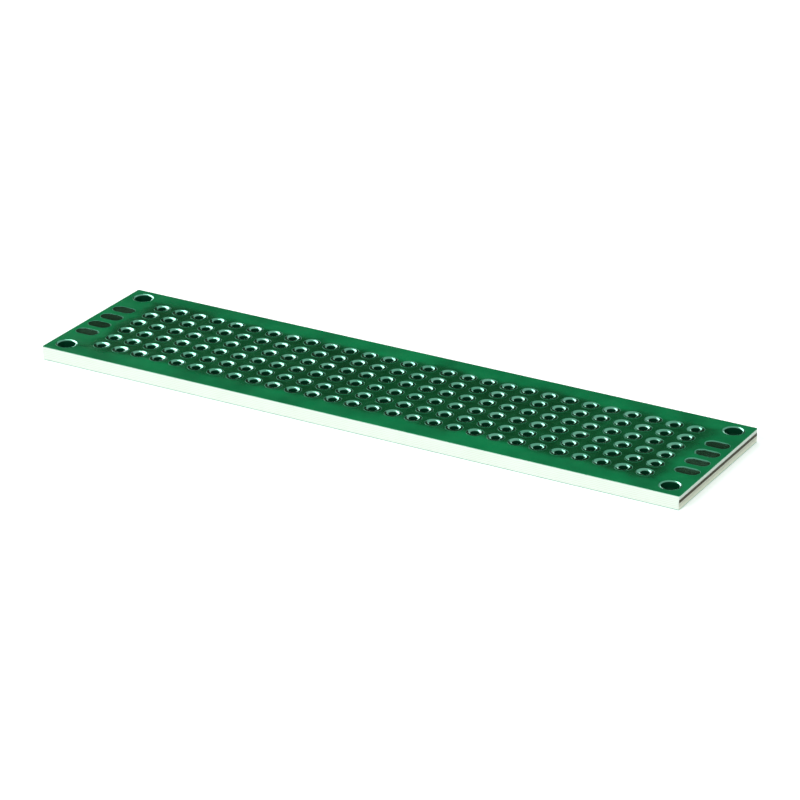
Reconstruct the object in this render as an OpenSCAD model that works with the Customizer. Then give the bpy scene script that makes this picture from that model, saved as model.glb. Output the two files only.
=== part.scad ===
// Prototype board: a glass-epoxy sheet with a grid of plated holes, a few edge
// contacts at each short end and a plated mounting hole in each corner.
// Both faces are alike. Sizes are in millimetres.
// The origin is at the middle of the underside, with +X along the board's length,
// +Y across it and +Z up through its thickness.

/* [Board] */
// Length of the board, along X
board_length = 80; // [40:1:100]
// Width of the board, along Y
board_width = 20; // [15:1:60]
// Thickness of the glass-epoxy sheet under the lacquer
sheet_thickness = 1.5; // [0.7:0.1:3.1]
// Radius of the four corners
corner_radius = 0.2; // [0.1:0.05:0.8]

/* [Hole grid] */
// Distance between neighbouring holes, both ways
hole_pitch = 2.54; // [2.4:0.01:3]
// Finished bore of each plated hole
hole_diameter = 1; // [0.8:0.05:1.1]
// Outer diameter of the round pad on each face
pad_diameter = 1.9; // [1.7:0.05:2.1]
// Height of the pads, rims and contacts above the bare sheet
pad_thickness = 0.05; // [0.03:0.01:0.08]
// Wall of the metal that lines each hole
plating_thickness = 0.05; // [0.03:0.01:0.08]
// Least bare edge between the outermost pads and the long sides
least_side_gap = 1.6; // [1.3:0.1:2.6]

/* [Edge contacts] */
// Length of each contact, its round ends included
contact_length = 2.8; // [2.2:0.1:4]
// Width of each contact
contact_width = 1.6; // [1:0.1:1.9]
// Distance from the short end to the contacts
contact_inset = 0.6; // [0.4:0.1:2]
// Least distance from the contacts to the first column of pads
least_contact_gap = 0.6; // [0.5:0.1:1.2]
// Rows next to each long side that have no contact
rows_without_contact = 1; // [1:1:2]

/* [Mounting holes] */
// Finished bore of each mounting hole
mounting_hole_diameter = 2; // [1.6:0.1:2.2]
// Outer diameter of the metal rim on each face
mounting_rim_diameter = 2.4; // [2.3:0.1:2.6]
// Distance from the two nearest edges to the middle of a mounting hole
mounting_inset = 2; // [1.6:0.1:2.2]

/* [Lacquer] */
// Thickness of the green lacquer on each face
mask_thickness = 0.05; // [0.02:0.01:0.08]
// Bare ring between a metal edge and the lacquer round it
mask_clearance = 0.08; // [0.04:0.01:0.1]

/* [Hidden] */
// Facets of each lead hole and contact end, and of each mounting hole
small_round = 32;
large_round = 48;

// The grid holds as many holes as fit, and is centred on the board
end_clear = contact_inset + contact_length + least_contact_gap + pad_diameter / 2;
side_clear = least_side_gap + pad_diameter / 2;
hole_columns = floor((board_length - 2 * end_clear) / hole_pitch) + 1;
hole_rows = floor((board_width - 2 * side_clear) / hole_pitch) + 1;
contact_rows = hole_rows - 2 * rows_without_contact;

// Heights of the faces, from the underside up
sheet_bottom = mask_thickness;
sheet_top = sheet_bottom + sheet_thickness;

drill_diameter = hole_diameter + 2 * plating_thickness;
mounting_drill_diameter = mounting_hole_diameter + 2 * plating_thickness;
contact_offset = board_length / 2 - contact_inset - contact_length / 2;

// Signs for the two ends and the two long sides, by the corner's or the end's name
LEFT = -1;
RIGHT = 1;
FRONT = -1;
BACK = 1;

sheet_color = [0.86, 0.93, 0.82];
mask_color = [0.0, 0.48, 0.22];
metal_color = [0.80, 0.80, 0.78];

function two_digits(number) = str(number < 10 ? "0" : "", number);
function column_name(column) = str("plated_holes_column_", two_digits(column));
function contact_name(end, face, contact) = str("contact_", end, "_", face, "_", contact);
function column_x(column) = (column - (hole_columns + 1) / 2) * hole_pitch;
function row_y(row) = (row - (hole_rows + 1) / 2) * hole_pitch;
function contact_y(contact) = row_y(contact + rows_without_contact);

// Puts its child at every hole of one column
module along_column(column) {
    for (row = [1 : hole_rows]) {
        translate([column_x(column), row_y(row)]) children();
    }
}

// Puts its child at every hole of the grid
module over_grid() {
    for (column = [1 : hole_columns]) {
        along_column(column) children();
    }
}

// Puts its child at the mounting hole of one corner
module at_corner(end, side) {
    translate([
        end * (board_length / 2 - mounting_inset),
        side * (board_width / 2 - mounting_inset)
    ]) children();
}

// Puts its child at one contact of one short end
module at_contact(end, contact) {
    translate([end * contact_offset, contact_y(contact)]) children();
}

// The board seen from above, with its rounded corners
module board_outline() {
    straight_x = board_length - 2 * corner_radius;
    straight_y = board_width - 2 * corner_radius;
    square([straight_x, board_width], center = true);
    square([board_length, straight_y], center = true);
    for (end = [LEFT, RIGHT], side = [FRONT, BACK]) {
        translate([end * straight_x / 2, side * straight_y / 2])
            circle(r = corner_radius, $fn = small_round);
    }
}

// A contact seen from above, grown by a margin all round
module contact_outline(margin) {
    straight = contact_length - contact_width;
    width = contact_width + 2 * margin;
    square([straight, width], center = true);
    for (end = [LEFT, RIGHT]) {
        translate([end * straight / 2, 0]) circle(d = width, $fn = small_round);
    }
}

// Half of a rim's section, above the sheet: flat, and round where it meets the bore
// and where it runs out on the sheet
module rim_section(bore, rim_diameter) {
    inner = bore / 2 + pad_thickness;
    outer = rim_diameter / 2 - pad_thickness;
    translate([inner, 0]) square([outer - inner, pad_thickness]);
    intersection() {
        for (x = [inner, outer]) {
            translate([x, 0]) circle(r = pad_thickness, $fn = small_round);
        }
        square([rim_diameter / 2, pad_thickness]);
    }
}

// A hole lined with metal, with a rim on each face: one solid of revolution
module plated_hole(bore, rim_diameter, facets) {
    rotate_extrude($fn = facets) {
        translate([bore / 2, sheet_bottom]) square([plating_thickness, sheet_thickness]);
        translate([0, sheet_top]) rim_section(bore, rim_diameter);
        translate([0, sheet_bottom]) mirror([0, 1]) rim_section(bore, rim_diameter);
    }
}

// The glass-epoxy sheet with every drilled hole
module sheet() {
    color(sheet_color)
        translate([0, 0, sheet_bottom]) linear_extrude(sheet_thickness) difference() {
            board_outline();
            over_grid() circle(d = drill_diameter, $fn = small_round);
            for (end = [LEFT, RIGHT], side = [FRONT, BACK]) {
                at_corner(end, side) circle(d = mounting_drill_diameter, $fn = large_round);
            }
        }
}

// One coat of lacquer, with a window round each piece of metal
module mask_coat() {
    margin = 2 * mask_clearance;
    color(mask_color) linear_extrude(mask_thickness) difference() {
        board_outline();
        over_grid() circle(d = pad_diameter + margin, $fn = small_round);
        for (end = [LEFT, RIGHT], side = [FRONT, BACK]) {
            at_corner(end, side) circle(d = mounting_rim_diameter + margin, $fn = large_round);
        }
        for (end = [LEFT, RIGHT], contact = [1 : contact_rows]) {
            at_contact(end, contact) contact_outline(mask_clearance);
        }
    }
}

module mask_top() {
    translate([0, 0, sheet_top]) mask_coat();
}

module mask_bottom() {
    mask_coat();
}

// The metal of one mounting hole
module mounting_rim(end, side) {
    color(metal_color)
        at_corner(end, side) plated_hole(mounting_hole_diameter, mounting_rim_diameter, large_round);
}

// One flat contact on the top or the bottom of the sheet
module contact(end, face, contact) {
    height = face == "top" ? sheet_top : sheet_bottom - pad_thickness;
    side = end == "left" ? LEFT : RIGHT;
    color(metal_color) translate([0, 0, height]) at_contact(side, contact)
        linear_extrude(pad_thickness) contact_outline(0);
}

// One column of plated holes, each a separate piece of metal. Column 1 is at the left.
module plated_holes_column(column) {
    color(metal_color)
        along_column(column) plated_hole(hole_diameter, pad_diameter, small_round);
}

sheet();
mask_top();
mask_bottom();
mounting_rim(LEFT, FRONT);  // mounting_rim_front_left
mounting_rim(RIGHT, FRONT);  // mounting_rim_front_right
mounting_rim(LEFT, BACK);  // mounting_rim_back_left
mounting_rim(RIGHT, BACK);  // mounting_rim_back_right
for (end = ["left", "right"], face = ["top", "bottom"], place = [1 : contact_rows]) {
    contact(end, face, place);
}
for (column = [1 : hole_columns]) {
    plated_holes_column(column);
}
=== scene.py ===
# %% [markdown]
# # A prototype board
#
# This lesson dresses a small prototype board: a sheet of glass epoxy, green lacquer on
# both faces, a grid of tinned holes, a few contacts at each short end and four rimmed
# mounting holes. The solid model gives every place and size. This script gives the
# metal its soft solder shapes, and every surface its finish.
#
# The first cell loads the solid model. Everything is in metres, in the model's frame:
# +X along the board, +Y across it and +Z up, with the underside at zero.

import math
import random

import bmesh
import bpy
from mathutils import Matrix, Vector


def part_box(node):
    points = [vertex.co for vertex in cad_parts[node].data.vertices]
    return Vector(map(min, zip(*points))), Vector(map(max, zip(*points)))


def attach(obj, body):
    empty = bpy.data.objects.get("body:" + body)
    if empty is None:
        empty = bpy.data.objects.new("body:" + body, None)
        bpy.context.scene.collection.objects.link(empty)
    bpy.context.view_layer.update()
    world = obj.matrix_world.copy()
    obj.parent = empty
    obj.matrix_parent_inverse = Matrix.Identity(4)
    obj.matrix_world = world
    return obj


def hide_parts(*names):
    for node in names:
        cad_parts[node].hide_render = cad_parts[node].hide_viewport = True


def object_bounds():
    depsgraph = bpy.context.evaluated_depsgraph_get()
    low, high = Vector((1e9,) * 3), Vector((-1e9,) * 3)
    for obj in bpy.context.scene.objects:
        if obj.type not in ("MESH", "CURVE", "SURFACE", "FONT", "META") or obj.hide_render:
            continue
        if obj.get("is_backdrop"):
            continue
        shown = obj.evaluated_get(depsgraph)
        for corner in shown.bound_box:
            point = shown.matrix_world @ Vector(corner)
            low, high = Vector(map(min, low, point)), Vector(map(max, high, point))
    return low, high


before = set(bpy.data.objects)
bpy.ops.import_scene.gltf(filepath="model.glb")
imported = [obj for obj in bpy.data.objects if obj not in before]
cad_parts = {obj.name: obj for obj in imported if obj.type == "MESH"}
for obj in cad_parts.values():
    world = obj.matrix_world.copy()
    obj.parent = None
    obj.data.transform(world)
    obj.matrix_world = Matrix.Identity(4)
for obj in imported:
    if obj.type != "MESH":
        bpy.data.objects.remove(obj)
cad_low, cad_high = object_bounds()
MM = 0.001
print("nodes:", len(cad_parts))
print("board, mm:", [round(side / MM, 3) for side in cad_high - cad_low])

# %% [markdown]
# ## Where the metal is
#
# The places could be typed in, but then they could drift from the solid model. They are
# read from its nodes instead. A column of plated holes is one node, so its box gives the
# middle of the column, the pad's diameter and the first and last row.

# %% Read the places from the model
ROWS = 6
sheet_low, sheet_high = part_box("sheet")
board_middle = (sheet_low.z + sheet_high.z) / 2
column_names = sorted(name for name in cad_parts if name.startswith("plated_holes_column_"))
rim_names = sorted(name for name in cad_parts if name.startswith("mounting_rim_"))
contact_names = sorted(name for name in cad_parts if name.startswith("contact_"))


def middle(node):
    low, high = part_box(node)
    return (low + high) / 2


first_low, first_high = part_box(column_names[0])
pad_radius = (first_high.x - first_low.x) / 2
row_pitch = (first_high.y - first_low.y - 2 * pad_radius) / (ROWS - 1)
row_places = [first_low.y + pad_radius + row * row_pitch for row in range(ROWS)]
print("columns:", len(column_names), "row pitch, mm:", round(row_pitch / MM, 3))
print("pad, mm:", round(2 * pad_radius / MM, 3), "contacts:", len(contact_names))

# %% [markdown]
# ## Helpers for materials
#
# Every finish here is a small net of shader nodes. One helper starts a material and hands
# back its Principled BSDF. Another adds a node, sets its inputs and links what is handed
# to it. An input goes by its name, or by its number as i0, i1 or i2 where several share
# a name.

# %% Start a material, add a node


def start_material(name):
    material = bpy.data.materials.new(name)
    material.use_nodes = True
    return material, material.node_tree, material.node_tree.nodes["Principled BSDF"]


def add(tree, kind, settings=None, **inputs):
    node = tree.nodes.new(kind)
    for key, value in (settings or {}).items():
        setattr(node, key, value)
    for key, value in inputs.items():
        numbered = key[0] == "i" and key[1:].isdigit()
        socket = node.inputs[int(key[1:]) if numbered else key]
        if isinstance(value, bpy.types.NodeSocket):
            tree.links.new(value, socket)
        else:
            socket.default_value = value
    return node


def start_group(name, inputs, output):
    tree = bpy.data.node_groups.new(name, "ShaderNodeTree")
    for socket, default in inputs:
        made = tree.interface.new_socket(socket, in_out="INPUT", socket_type="NodeSocketFloat")
        made.default_value = default
    tree.interface.new_socket(output, in_out="OUTPUT", socket_type="NodeSocketFloat")
    return tree, tree.nodes.new("NodeGroupInput"), tree.nodes.new("NodeGroupOutput")


def place_group(tree, group, **inputs):
    return add(tree, "ShaderNodeGroup", {"node_tree": group}, **inputs).outputs[0]


print("material helpers ready")

# %% [markdown]
# ## Helpers for sums, ranges, blends and ramps
#
# A few kinds of node come back again and again: a sum, a range stretched to another, a
# blend of two colours, a ramp of colours, a bump and the place on the object. Each gets a
# short helper that hands back its result.

# %% Common nodes


def calc(tree, operation, *values, clamp=False):
    numbered = {f"i{number}": value for number, value in enumerate(values)}
    settings = {"operation": operation, "use_clamp": clamp}
    return add(tree, "ShaderNodeMath", settings, **numbered).outputs[0]


def stretch(tree, value, low, high, at_low=0.0, at_high=1.0, easing="LINEAR"):
    limits = {"From Min": low, "From Max": high, "To Min": at_low, "To Max": at_high}
    settings = {"interpolation_type": easing}
    return add(tree, "ShaderNodeMapRange", settings, Value=value, **limits).outputs["Result"]


def blend(tree, factor, first, second, kind="MIX"):
    settings = {"data_type": "RGBA", "blend_type": kind}
    return add(tree, "ShaderNodeMix", settings, Factor=factor, A=first, B=second).outputs["Result"]


def ramp(tree, mask, *stops):
    node = add(tree, "ShaderNodeValToRGB", Fac=mask)
    elements = node.color_ramp.elements
    while len(elements) < len(stops):
        elements.new(0.5)
    for element, (place, color) in zip(elements, stops):
        element.position = place
        element.color = color
    return node.outputs["Color"]


def grey(level):
    return (level, level, level, 1)


def emboss(tree, skin, height, strength, distance):
    bump = add(tree, "ShaderNodeBump", Height=height, Strength=strength, Distance=distance)
    tree.links.new(bump.outputs["Normal"], skin.inputs["Normal"])


def object_place(tree):
    return add(tree, "ShaderNodeTexCoord").outputs["Object"]


def object_axes(tree):
    return add(tree, "ShaderNodeSeparateXYZ", Vector=object_place(tree)).outputs


print("node helpers ready")

# %% [markdown]
# ## Clouds, used by every finish
#
# No real surface has one even tone: lacquer pools, tin cools unevenly, and hands leave
# smudges. One group makes soft clouds at any size, and each material picks its own size
# and strength. It puts out a mask from 0 to 1 whose middle value is one half.

# %% Group: clouds
clouds_group, group_in, group_out = start_group(
    "clouds", [("Size", 1.0), ("Contrast", 1.0), ("Seed", 0.0)], "Mask"
)
noise = add(
    clouds_group,
    "ShaderNodeTexNoise",
    {"noise_dimensions": "4D"},
    Vector=object_place(clouds_group),
    W=group_in.outputs["Seed"],
    Scale=group_in.outputs["Size"],
    Detail=4.0,
)
centred = calc(clouds_group, "SUBTRACT", noise.outputs["Fac"], 0.5)
spread = calc(clouds_group, "MULTIPLY", centred, group_in.outputs["Contrast"])
mask = calc(clouds_group, "ADD", spread, 0.5, clamp=True)
clouds_group.links.new(mask, group_out.inputs["Mask"])
print("group:", clouds_group.name)

# %% [markdown]
# ## Glass weave, used by the lacquer
#
# The sheet is woven glass cloth in resin. Its crossing threads lie close under the
# lacquer and show through as a very faint square texture. Two wave textures at right
# angles make the threads, and the group puts out how high the cloth stands.

# %% Group: glass weave
weave_group, group_in, group_out = start_group("glass_weave", [("Threads", 800.0)], "Height")
place = object_place(weave_group)
threads = []
for direction in ("X", "Y"):
    wave = add(
        weave_group,
        "ShaderNodeTexWave",
        {"wave_type": "BANDS", "bands_direction": direction},
        Vector=place,
        Scale=group_in.outputs["Threads"],
        Distortion=1.2,
        Detail=1.0,
    )
    threads.append(wave.outputs["Fac"])
weave_group.links.new(calc(weave_group, "MULTIPLY", *threads), group_out.inputs["Height"])
print("group:", weave_group.name)

# %% [markdown]
# ## Green lacquer
#
# The solder mask is a thin glossy lacquer. Its green is deep among the rings, which is
# painted shade, and lighter near the board's edges, which is painted light standing for
# light that gets into the pale laminate below. A plain green with gloss looks like plastic,
# so four things are added: slow and fine clouds between three greens, a lighter green near
# the board's edges, a mint painted highlight on the coat's own thin side walls round each
# window and along the outline, and a faint bump from the weave and the lacquer's flow.

# %% Material: lacquer
EDGE_WAVE = 1.8 * MM
# Mint painted highlight for the coat's own side walls.
COAT_EDGE_HIGHLIGHT = (0.12, 0.50, 0.34, 1)
lacquer, tree, skin = start_material("green_lacquer")
axes = object_axes(tree)
slow = place_group(tree, clouds_group, Size=60.0, Contrast=2.0, Seed=3.0)
blotch = place_group(tree, clouds_group, Size=210.0, Contrast=2.0, Seed=4.0)
fine = place_group(tree, clouds_group, Size=900.0, Contrast=1.6, Seed=8.0)


def nearness(along, half, starts, full):
    waved = calc(tree, "MULTIPLY_ADD", blotch, EDGE_WAVE, calc(tree, "ABSOLUTE", along))
    return stretch(tree, waved, half - starts, half - full, easing="SMOOTHERSTEP")


near_end = nearness(axes["X"], cad_high.x, 4.7 * MM, 1.85 * MM)
near_side = nearness(axes["Y"], cad_high.y, 2.8 * MM, 0.9 * MM)
mottled = calc(tree, "MULTIPLY", calc(tree, "ADD", slow, fine), 0.5)
# The three mottled deep greens are painted shade among the rings.
greens = ramp(
    tree,
    mottled,
    (0.2, (0.0003, 0.038, 0.010, 1)),
    (0.5, (0.0004, 0.060, 0.017, 1)),
    (0.8, (0.001, 0.096, 0.030, 1)),
)
# The lighter greens near the ends and sides are painted light.
painted_edge_light_greens = ramp(tree, blotch, (0.2, (0.001, 0.140, 0.047, 1)), (0.8, (0.003, 0.208, 0.070, 1)))
painted_edge_light_blend = blend(tree, calc(tree, "MAXIMUM", near_end, near_side), greens, painted_edge_light_greens)
# The coat's side walls, round each window and along the outline, get a mint painted highlight.
below_top = stretch(tree, axes["Z"], cad_high.z - 0.006 * MM, cad_high.z - 0.002 * MM, 1.0, 0.0)
above_underside = stretch(tree, axes["Z"], cad_low.z + 0.002 * MM, cad_low.z + 0.006 * MM)
with_painted_edge_highlight = blend(tree, calc(tree, "MULTIPLY", below_top, above_underside), painted_edge_light_blend, COAT_EDGE_HIGHLIGHT)
tree.links.new(with_painted_edge_highlight, skin.inputs["Base Color"])
gloss = ramp(tree, fine, (0.0, grey(0.12)), (1.0, grey(0.21)))
tree.links.new(gloss, skin.inputs["Roughness"])
weave = place_group(tree, weave_group, Threads=520.0)
emboss(tree, skin, calc(tree, "MULTIPLY_ADD", weave, 0.35, fine), 0.12, 0.02 * MM)
skin.inputs["IOR"].default_value = 1.5
print("material:", lacquer.name)

# %% [markdown]
# ## Glass-epoxy laminate
#
# Only the sheet's edges and the thin rings round the pads show bare laminate. The edge is
# pale, with fine layers of cloth one above the other. The long sides are milled clean.
# The short ends were snapped off along a scored groove. There the code draws a rough dark
# brown band a little above the middle and a smooth slope on either side, and paints the
# slope below the band a darker tan, as painted shade where it faces down. Height and length
# alone tell these apart, so the pattern reads Object Z and X. The faces of the sheet are
# painted dark green, which shows in the narrow rings round the metal.

# %% Material: laminate
WEB_RISE = 0.18 * MM
BARE_RING = (0.03, 0.22, 0.12, 1)
LOWER_SLOPE_PAINTED_SHADE = (0.84, 0.77, 0.64, 1)
laminate, tree, skin = start_material("glass_epoxy")
axes = object_axes(tree)
from_middle = calc(tree, "ABSOLUTE", calc(tree, "SUBTRACT", axes["Z"], board_middle))
off_web = calc(tree, "SUBTRACT", axes["Z"], board_middle + WEB_RISE)
from_web = calc(tree, "ABSOLUTE", off_web)
at_end = calc(tree, "GREATER_THAN", calc(tree, "ABSOLUTE", axes["X"]), sheet_high.x - 0.06 * MM)
web = stretch(tree, from_web, 0.15 * MM, 0.24 * MM, 1.0, 0.0, "SMOOTHSTEP")
end_web = calc(tree, "MULTIPLY", web, at_end)
layers = add(
    tree,
    "ShaderNodeTexWave",
    {"wave_type": "BANDS", "bands_direction": "Z"},
    Vector=object_place(tree),
    Scale=1500.0,
    Distortion=2.5,
    Detail=3.0,
)
torn = place_group(tree, clouds_group, Size=5200.0, Contrast=3.0, Seed=5.0)
soft = place_group(tree, clouds_group, Size=240.0, Contrast=2.0, Seed=6.0)
pale = ramp(tree, soft, (0.0, (0.90, 0.94, 0.87, 1)), (1.0, (0.95, 0.97, 0.93, 1)))
cloth = ramp(tree, layers.outputs["Fac"], (0.0, (0.74, 0.70, 0.56, 1)), (0.5, grey(1.0)))
layered = blend(tree, 0.35, pale, cloth, "MULTIPLY")
brown = ramp(tree, torn, (0.2, (0.016, 0.014, 0.010, 1)), (0.8, (0.115, 0.090, 0.058, 1)))
with_dark_web = blend(tree, end_web, layered, brown)
# The slope below the web is painted a darker tan, as painted shade where it faces down.
below_web = calc(tree, "MULTIPLY", calc(tree, "LESS_THAN", off_web, -0.17 * MM), at_end)
with_lower_painted_shade = blend(tree, calc(tree, "MULTIPLY", below_web, 0.7), with_dark_web, LOWER_SLOPE_PAINTED_SHADE, "MULTIPLY")
half_sheet = (sheet_high.z - sheet_low.z) / 2
on_face = calc(tree, "GREATER_THAN", from_middle, half_sheet - 0.004 * MM)
# The sheet's faces, seen in the rings round the metal, are painted dark green.
tree.links.new(blend(tree, on_face, with_lower_painted_shade, BARE_RING), skin.inputs["Base Color"])
tree.links.new(stretch(tree, end_web, 0.0, 1.0, 0.42, 0.85), skin.inputs["Roughness"])
fibres = calc(tree, "MULTIPLY", torn, end_web)
groove = stretch(tree, from_web, 0.22 * MM, 0.57 * MM, 6.0, 0.0)
emboss(tree, skin, calc(tree, "MULTIPLY_ADD", groove, at_end, fibres), 0.8, 0.06 * MM)
skin.inputs["IOR"].default_value = 1.5
print("material:", laminate.name)

# %% [markdown]
# ## Tin
#
# The bare copper is coated with tin solder blown level with hot air. It is bright, but
# never a perfect mirror: it freezes with a slight grain, and it dulls where it is thin.
# Clouds vary its tone and roughness, and a fine bump makes the grain. Its base colour is a
# clear mint green, a painted reflection of the green board round it; real tin is silver.
# Down in the barrels the colour is painted shade, a dark green that stands for the shaded
# hole, and there the tin is only partly metallic.

# %% Material: tin
BARREL_PAINTED_SHADE = (0.002, 0.050, 0.022, 1)
tin, tree, skin = start_material("solder_tin")
grain = place_group(tree, clouds_group, Size=2600.0, Contrast=2.2, Seed=1.0)
patches = place_group(tree, clouds_group, Size=330.0, Contrast=3.0, Seed=2.0)
off_middle = calc(tree, "SUBTRACT", object_axes(tree)["Z"], board_middle)
from_middle = calc(tree, "ABSOLUTE", off_middle)
# Down the hole the dark green is painted shade, and the tin there is only partly metallic.
down_the_hole = stretch(tree, from_middle, 0.72 * MM, 0.80 * MM, 1.0, 0.0, "SMOOTHSTEP")
# The tin's mint green is a painted reflection of the green board round it; its patches vary at
# random.
tin_tone_and_painted_green = ramp(tree, patches, (0.0, (0.27, 0.74, 0.54, 1)), (1.0, (0.46, 0.93, 0.74, 1)))
tree.links.new(blend(tree, down_the_hole, tin_tone_and_painted_green, BARREL_PAINTED_SHADE), skin.inputs["Base Color"])
dullness = ramp(tree, patches, (0.0, grey(0.05)), (1.0, grey(0.13)))
tree.links.new(dullness, skin.inputs["Roughness"])
emboss(tree, skin, grain, 0.12, 0.02 * MM)
tree.links.new(stretch(tree, down_the_hole, 0.0, 1.0, 1.0, 0.3), skin.inputs["Metallic"])
skin.inputs["Specular IOR Level"].default_value = 0.1
print("material:", tin.name)

# %% [markdown]
# ## Dress the solid model
#
# The sheet and the two coats of lacquer have the right shape already, so they stay and
# only get their finish.

# %% Assign the finishes


def dress(node, material):
    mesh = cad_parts[node].data
    mesh.materials.clear()
    mesh.materials.append(material)


dress("sheet", laminate)
for name in ("mask_top", "mask_bottom"):
    dress(name, lacquer)
for name in column_names + rim_names + contact_names:
    dress(name, tin)
print("dressed:", len(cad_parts))

# %% [markdown]
# ## Helpers for shapes
#
# Holes and the paper are outlines spun round an upright axis, so one helper does that.
# Two more turn a finished mesh into an object, give a piece of the board its finish,
# hang it on the body that it rides on and hide the nodes that it replaces.

# %% Spin an outline, finish a piece
SHARP_ANGLE = math.radians(32)


def spin_outline(bm, outline, closed, centre, steps):
    points = [bm.verts.new((centre.x + radius, centre.y, level)) for radius, level in outline]
    following = points[1:] + points[:1] if closed else points[1:]
    lines = [bm.edges.new(pair) for pair in zip(points, following)]
    bmesh.ops.spin(
        bm,
        geom=points + lines,
        cent=(centre.x, centre.y, 0),
        axis=(0, 0, 1),
        dvec=(0, 0, 0),
        angle=2 * math.pi,
        steps=steps,
        use_merge=True,
        use_duplicate=False,
    )


def make_object(name, bm):
    mesh = bpy.data.meshes.new(name)
    bm.to_mesh(mesh)
    bm.free()
    made = bpy.data.objects.new(name, mesh)
    bpy.context.scene.collection.objects.link(made)
    return made


def finish_piece(name, bm, material, nodes):
    bmesh.ops.remove_doubles(bm, verts=bm.verts, dist=0.001 * MM)
    bmesh.ops.recalc_face_normals(bm, faces=bm.faces)
    for face in bm.faces:
        face.smooth = True
    for edge in bm.edges:
        edge.smooth = edge.calc_face_angle(0) < SHARP_ANGLE
    piece = make_object(name, bm)
    piece.data.materials.append(material)
    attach(piece, "root")
    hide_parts(*nodes)
    return piece


print("sharp from, degrees:", round(math.degrees(SHARP_ANGLE)))

# %% [markdown]
# ## A ring of solder with its barrel
#
# On the solid model a pad is flat with rounded rims. Real solder is drawn by its own
# surface tension: it stands full at the outer edge, sinks a little towards the hole and
# rounds over into it like a funnel. That slope is what catches the light in the picture.
# The outline is drawn once for each face and spun round the hole's axis. The holes are
# many, so each has few faces, and smooth shading does the rest. The outer wall is a
# little undercut, as an etched pad is, and keeps a sharp edge. Each ring leans a little,
# by a seeded random number, because no two freeze alike.

# %% Helper: one lined hole
RING_STEPS = 12
CREST = 0.028 * MM
UNDERCUT = 0.03 * MM
UNEVEN = 0.008 * MM
SLOPE_SHARE, FUNNEL_SHARE = 0.55, 0.13
FUNNEL_DEPTH, BARREL_DEPTH = 0.035 * MM, 0.09 * MM


def lined_hole(bm, centre, bore_radius, rim_radius, steps, chance):
    face = cad_high.z
    foot = sheet_high.z
    ring = rim_radius - bore_radius
    half = [
        (rim_radius - UNDERCUT, foot),
        (rim_radius, face + CREST),
        (bore_radius + SLOPE_SHARE * ring, face + 0.4 * CREST),
        (bore_radius + FUNNEL_SHARE * ring, face - FUNNEL_DEPTH),
        (bore_radius, face - BARREL_DEPTH),
    ]
    mirrored = [(radius, face - level) for radius, level in reversed(half)]
    spin_outline(bm, half + mirrored, True, centre, steps)
    lean, turn = chance.uniform(0.2, 1.0) * UNEVEN, chance.uniform(0, 2 * math.pi)
    for vert in bm.verts:
        side = math.cos(math.atan2(vert.co.y - centre.y, vert.co.x - centre.x) - turn)
        if vert.co.z > foot + 0.01 * MM:
            vert.co.z += lean * side
        elif vert.co.z < sheet_low.z - 0.01 * MM:
            vert.co.z -= lean * side


print("steps round a hole:", RING_STEPS)

# %% [markdown]
# ## The grid of lined holes
#
# Each column becomes one piece, as in the solid model, so a reader can pick a column in
# the outliner and compare it with its node. Each hole is made by itself, so that it leans
# by itself, and then joins its column.

# %% Build the columns
BORE_RADIUS = 0.5 * MM
chance = random.Random(11)
column_pieces = []
for name in column_names:
    bm = bmesh.new()
    for place_y in row_places:
        single = bmesh.new()
        centre = Vector((middle(name).x, place_y))
        lined_hole(single, centre, BORE_RADIUS, pad_radius, RING_STEPS, chance)
        made = bpy.data.meshes.new("one_hole")
        single.to_mesh(made)
        single.free()
        bm.from_mesh(made)
        bpy.data.meshes.remove(made)
    piece_name = name.replace("plated_holes", "solder")
    column_pieces.append(finish_piece(piece_name, bm, tin, [name]))
print("columns:", len(column_pieces), "faces each:", len(column_pieces[0].data.polygons))

# %% [markdown]
# ## The mounting rims
#
# The four mounting holes are lined the same way, with a narrow rim. They are large in
# the picture, so they get three times the steps.

# %% Build the mounting rims
MOUNTING_BORE_RADIUS = 1.0 * MM
rim_pieces = []
for name in rim_names:
    low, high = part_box(name)
    rim_radius = (high.x - low.x) / 2
    bm = bmesh.new()
    lined_hole(bm, middle(name), MOUNTING_BORE_RADIUS, rim_radius, 3 * RING_STEPS, chance)
    piece_name = name.replace("mounting_rim", "rim_solder")
    rim_pieces.append(finish_piece(piece_name, bm, tin, [name]))
print("rims:", len(rim_pieces), "faces each:", len(rim_pieces[0].data.polygons))

# %% [markdown]
# ## The edge contacts
#
# Each contact is a strip of copper with round ends and a cushion of tin on it. A circle
# is cut at its middle and drawn apart to give the outline, which is extruded to the
# metal's height. Two insets then lower the middle a little. The tin stands full at its
# outline, as in the rings, and that soft lip draws a light line round the back of each.
# Heights are shares of the metal's thickness.

# %% Build the contacts
CONTACT_STEPS = 28
LIP_HEIGHT = 1.2
INSETS = ((0.18 * MM, -0.28), (0.30 * MM, -0.04))


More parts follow.
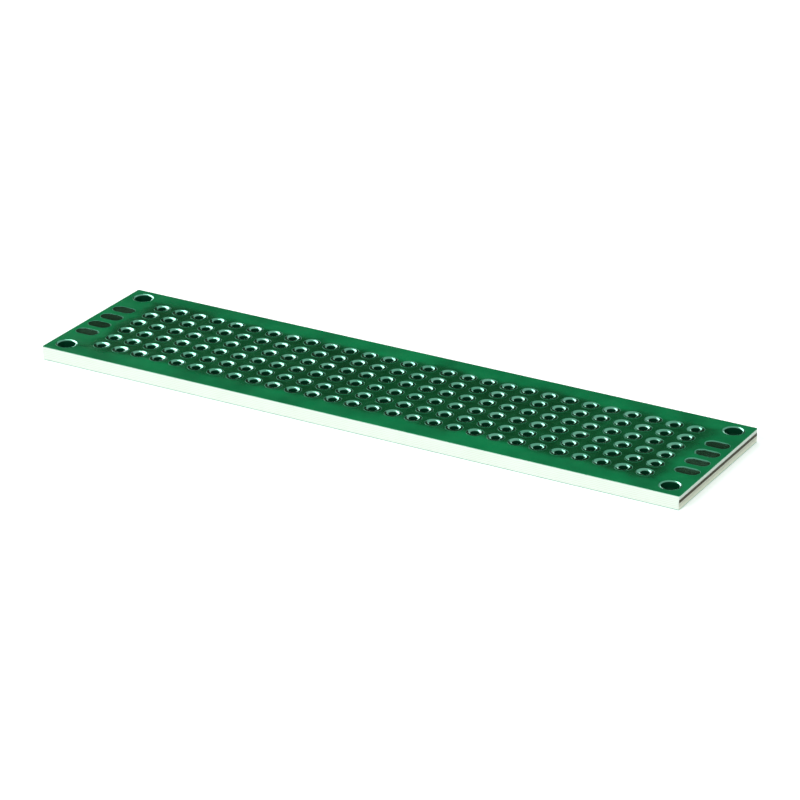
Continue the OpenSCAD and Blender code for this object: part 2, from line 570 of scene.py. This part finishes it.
def contact_piece(name):
    low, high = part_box(name)
    centre = (low + high) / 2
    length, width = high.x - low.x, high.y - low.y
    thickness = high.z - low.z
    on_top = "_top_" in name
    half_step = Matrix.Rotation(math.pi / CONTACT_STEPS, 3, "Z")
    bm = bmesh.new()
    bmesh.ops.create_circle(bm, cap_ends=True, segments=CONTACT_STEPS, radius=width / 2)
    bmesh.ops.rotate(bm, verts=bm.verts, cent=(0, 0, 0), matrix=half_step)
    for vert in bm.verts:
        vert.co.x += math.copysign((length - width) / 2, vert.co.x)
    raised = bmesh.ops.extrude_face_region(bm, geom=bm.faces[:])
    lifted = [item for item in raised["geom"] if isinstance(item, bmesh.types.BMVert)]
    bmesh.ops.translate(bm, verts=lifted, vec=(0, 0, LIP_HEIGHT * thickness))
    cap = [item for item in raised["geom"] if isinstance(item, bmesh.types.BMFace)]
    for reach, rise in INSETS:
        bmesh.ops.inset_region(bm, faces=cap, thickness=reach, depth=0, use_even_offset=True)
        inner = {vert for face in cap for vert in face.verts}
        bmesh.ops.translate(bm, verts=list(inner), vec=(0, 0, rise * thickness))
    if not on_top:
        bmesh.ops.scale(bm, verts=bm.verts, vec=(1, 1, -1))
    base = low.z if on_top else high.z
    bmesh.ops.translate(bm, verts=bm.verts, vec=(centre.x, centre.y, base))
    piece_name = name.replace("contact", "contact_solder")
    return finish_piece(piece_name, bm, tin, [name])


contact_pieces = [contact_piece(name) for name in contact_names]
print("contacts:", len(contact_pieces), "faces each:", len(contact_pieces[0].data.polygons))

# %% [markdown]
# ## Floor and backdrop
#
# The board lies on white paper that runs off level and then curves up a little on all
# sides, as a paper sweep does. One outline spun round the board makes it. The paper's
# own colour makes the picture's ground white. Near the board it keeps its shadow. For the
# camera and for reflections it is lifted a little, so no lamp has to be turned up.

# %% Paper sweep
SWEEP_STEPS = 96
SWEEP_OUTLINE = [
    (0.0, 0.0), (0.6, 0.0), (4.0, 0.0), (4.4, 0.05), (4.7, 0.2), (4.85, 0.45), (4.9, 0.8)
]
floor_level = cad_low.z - 0.02 * MM
outline = [(radius, floor_level + level) for radius, level in SWEEP_OUTLINE]
sweep_bm = bmesh.new()
spin_outline(sweep_bm, outline, False, Vector((0, 0)), SWEEP_STEPS)
bmesh.ops.remove_doubles(sweep_bm, verts=sweep_bm.verts, dist=0.01 * MM)
bmesh.ops.recalc_face_normals(sweep_bm, faces=sweep_bm.faces)
sweep = make_object("paper_sweep", sweep_bm)
sweep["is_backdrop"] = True
print("paper at", round(floor_level / MM, 3), "mm, faces:", len(sweep.data.polygons))

# %% Material: paper
paper, tree, skin = start_material("white_paper")
skin.inputs["Base Color"].default_value = grey(0.86)
skin.inputs["Roughness"].default_value = 0.9
skin.inputs["Specular IOR Level"].default_value = 0.0
ray = add(tree, "ShaderNodeLightPath").outputs
mirrored = calc(tree, "MAXIMUM", ray["Is Glossy Ray"], ray["Is Transmission Ray"])
seen = calc(tree, "MAXIMUM", ray["Is Camera Ray"], mirrored)
away = add(tree, "ShaderNodeVectorMath", {"operation": "LENGTH"}, i0=object_place(tree))
far = stretch(tree, away.outputs["Value"], 0.2, 2.5, 0.42, 1.0, "SMOOTHSTEP")
tree.links.new(calc(tree, "MULTIPLY", seen, far), skin.inputs["Emission Strength"])
skin.inputs["Emission Color"].default_value = grey(1.0)
sweep.data.materials.append(paper)
print("material:", paper.name)

# %% [markdown]
# ## Light
#
# Bare metal shows whatever stands round it, so the studio is built like a real one: a
# dim room, white paper to the horizon, and three soft lamps. The key stands to the front
# left, so the long front edge is bright and the right end, which has only a weak fill, is
# darker, as in the picture. A wide soft box on the left draws a bright streak on the right
# side of each solder ring, and the dim room draws a thinner arc round its back. Only the
# box shows in the metal.
# The level is plain: together the lamps show a colour about as it is written.

# %% World and lamps
world = bpy.data.worlds.new("studio")
bpy.context.scene.world = world
world.use_nodes = True
back = world.node_tree.nodes["Background"]
back.inputs["Color"].default_value = (0.72, 1.0, 0.89, 1)
back.inputs["Strength"].default_value = 0.40


def soft_lamp(name, bearing, height, distance, width, tall, power, mirrored):
    turn, rise = math.radians(bearing), math.radians(height)
    level = math.cos(rise)
    place = distance * Vector((math.cos(turn) * level, math.sin(turn) * level, math.sin(rise)))
    data = bpy.data.lights.new(name, "AREA")
    data.shape = "RECTANGLE"
    data.size = width
    data.size_y = tall
    data.energy = power
    lamp = bpy.data.objects.new(name, data)
    lamp.location = place
    lamp.rotation_euler = (-place).to_track_quat("-Z", "Y").to_euler()
    lamp.visible_glossy = mirrored
    bpy.context.scene.collection.objects.link(lamp)
    print(name, "stands at", [round(side, 2) for side in place])


soft_lamp("key_lamp", 252, 38, 3.0, 0.9, 0.9, 46, False)
soft_lamp("side_box", 152, 35, 3.0, 2.2, 1.9, 38, True)
soft_lamp("fill_lamp", 350, 30, 3.0, 0.9, 0.9, 24, False)

# %% [markdown]
# ## Dark card
#
# Flat metal would show the room's grey and lose its depth. Photographers stand a
# dark card opposite the camera, and the metal and the lacquer mirror it. It is narrow, so
# that a surface that leans only a little shows the soft box beside it. The camera itself
# never sees it, which keeps it out of the views from low down.

# %% Card behind the board
CARD_TURN = math.radians(29)
CARD_WIDTH, CARD_HEIGHT = 0.66, 1.12
CARD_PLACE = (0, 2.0, 0.57)
upright = Matrix.Rotation(math.radians(90), 4, "X")
stand = Matrix.Rotation(CARD_TURN, 4, "Z") @ Matrix.Translation(CARD_PLACE) @ upright
card_bm = bmesh.new()
bmesh.ops.create_grid(card_bm, x_segments=1, y_segments=1, size=0.5)
bmesh.ops.scale(card_bm, verts=card_bm.verts, vec=(CARD_WIDTH, CARD_HEIGHT, 1))
bmesh.ops.transform(card_bm, matrix=stand, verts=card_bm.verts)
card = make_object("dark_card", card_bm)
card.visible_camera = False
card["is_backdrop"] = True
black, tree, skin = start_material("card_black")
skin.inputs["Base Color"].default_value = (0.026, 0.034, 0.019, 1)
skin.inputs["Roughness"].default_value = 0.9
skin.inputs["Specular IOR Level"].default_value = 0.1
card.data.materials.append(black)
heights = [vert.co.z for vert in card.data.vertices]
print("card from", round(min(heights), 3), "to", round(max(heights), 3), "m high")

# %% [markdown]
# ## Camera
#
# The viewing angle was found from the board's four corners and its holes in the picture:
# 29 degrees to the right of the front and 24 degrees above the table. The lens is long,
# so that the small board fills the picture without changing the angle.

# %% Camera
LENS_MM, SENSOR_MM = 156.4, 36
AIM = Vector((0.00185, -0.00124, 0.0008))
ROLL = Matrix.Rotation(math.radians(0.4), 4, "Z")
camera_data = bpy.data.cameras.new("camera")
camera_data.sensor_width = SENSOR_MM
camera_data.lens = LENS_MM
camera_data.clip_start = 0.01
camera_data.clip_end = 30
camera = bpy.data.objects.new("camera", camera_data)
camera.location = (0.1733, -0.3090, 0.1556)
sight = AIM - camera.location
look = sight.to_track_quat("-Z", "Y").to_matrix().to_4x4()
camera.matrix_world = Matrix.Translation(camera.location) @ look @ ROLL
bpy.context.scene.collection.objects.link(camera)
bpy.context.scene.camera = camera
bpy.context.scene.view_settings.view_transform = "Standard"
print("distance, mm:", round(sight.length / MM, 1))

# %% [markdown]
# ## Sizes, and the end
#
# The last line prints how much the visual model's box has grown over the solid model's box.
# The visual model has to stay in the solid model's box.

# %% Write the sizes and finish
low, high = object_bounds()
grown = [round((after - before) / MM, 4) for after, before in zip(high - low, cad_high - cad_low)]
print("grown, mm:", grown)
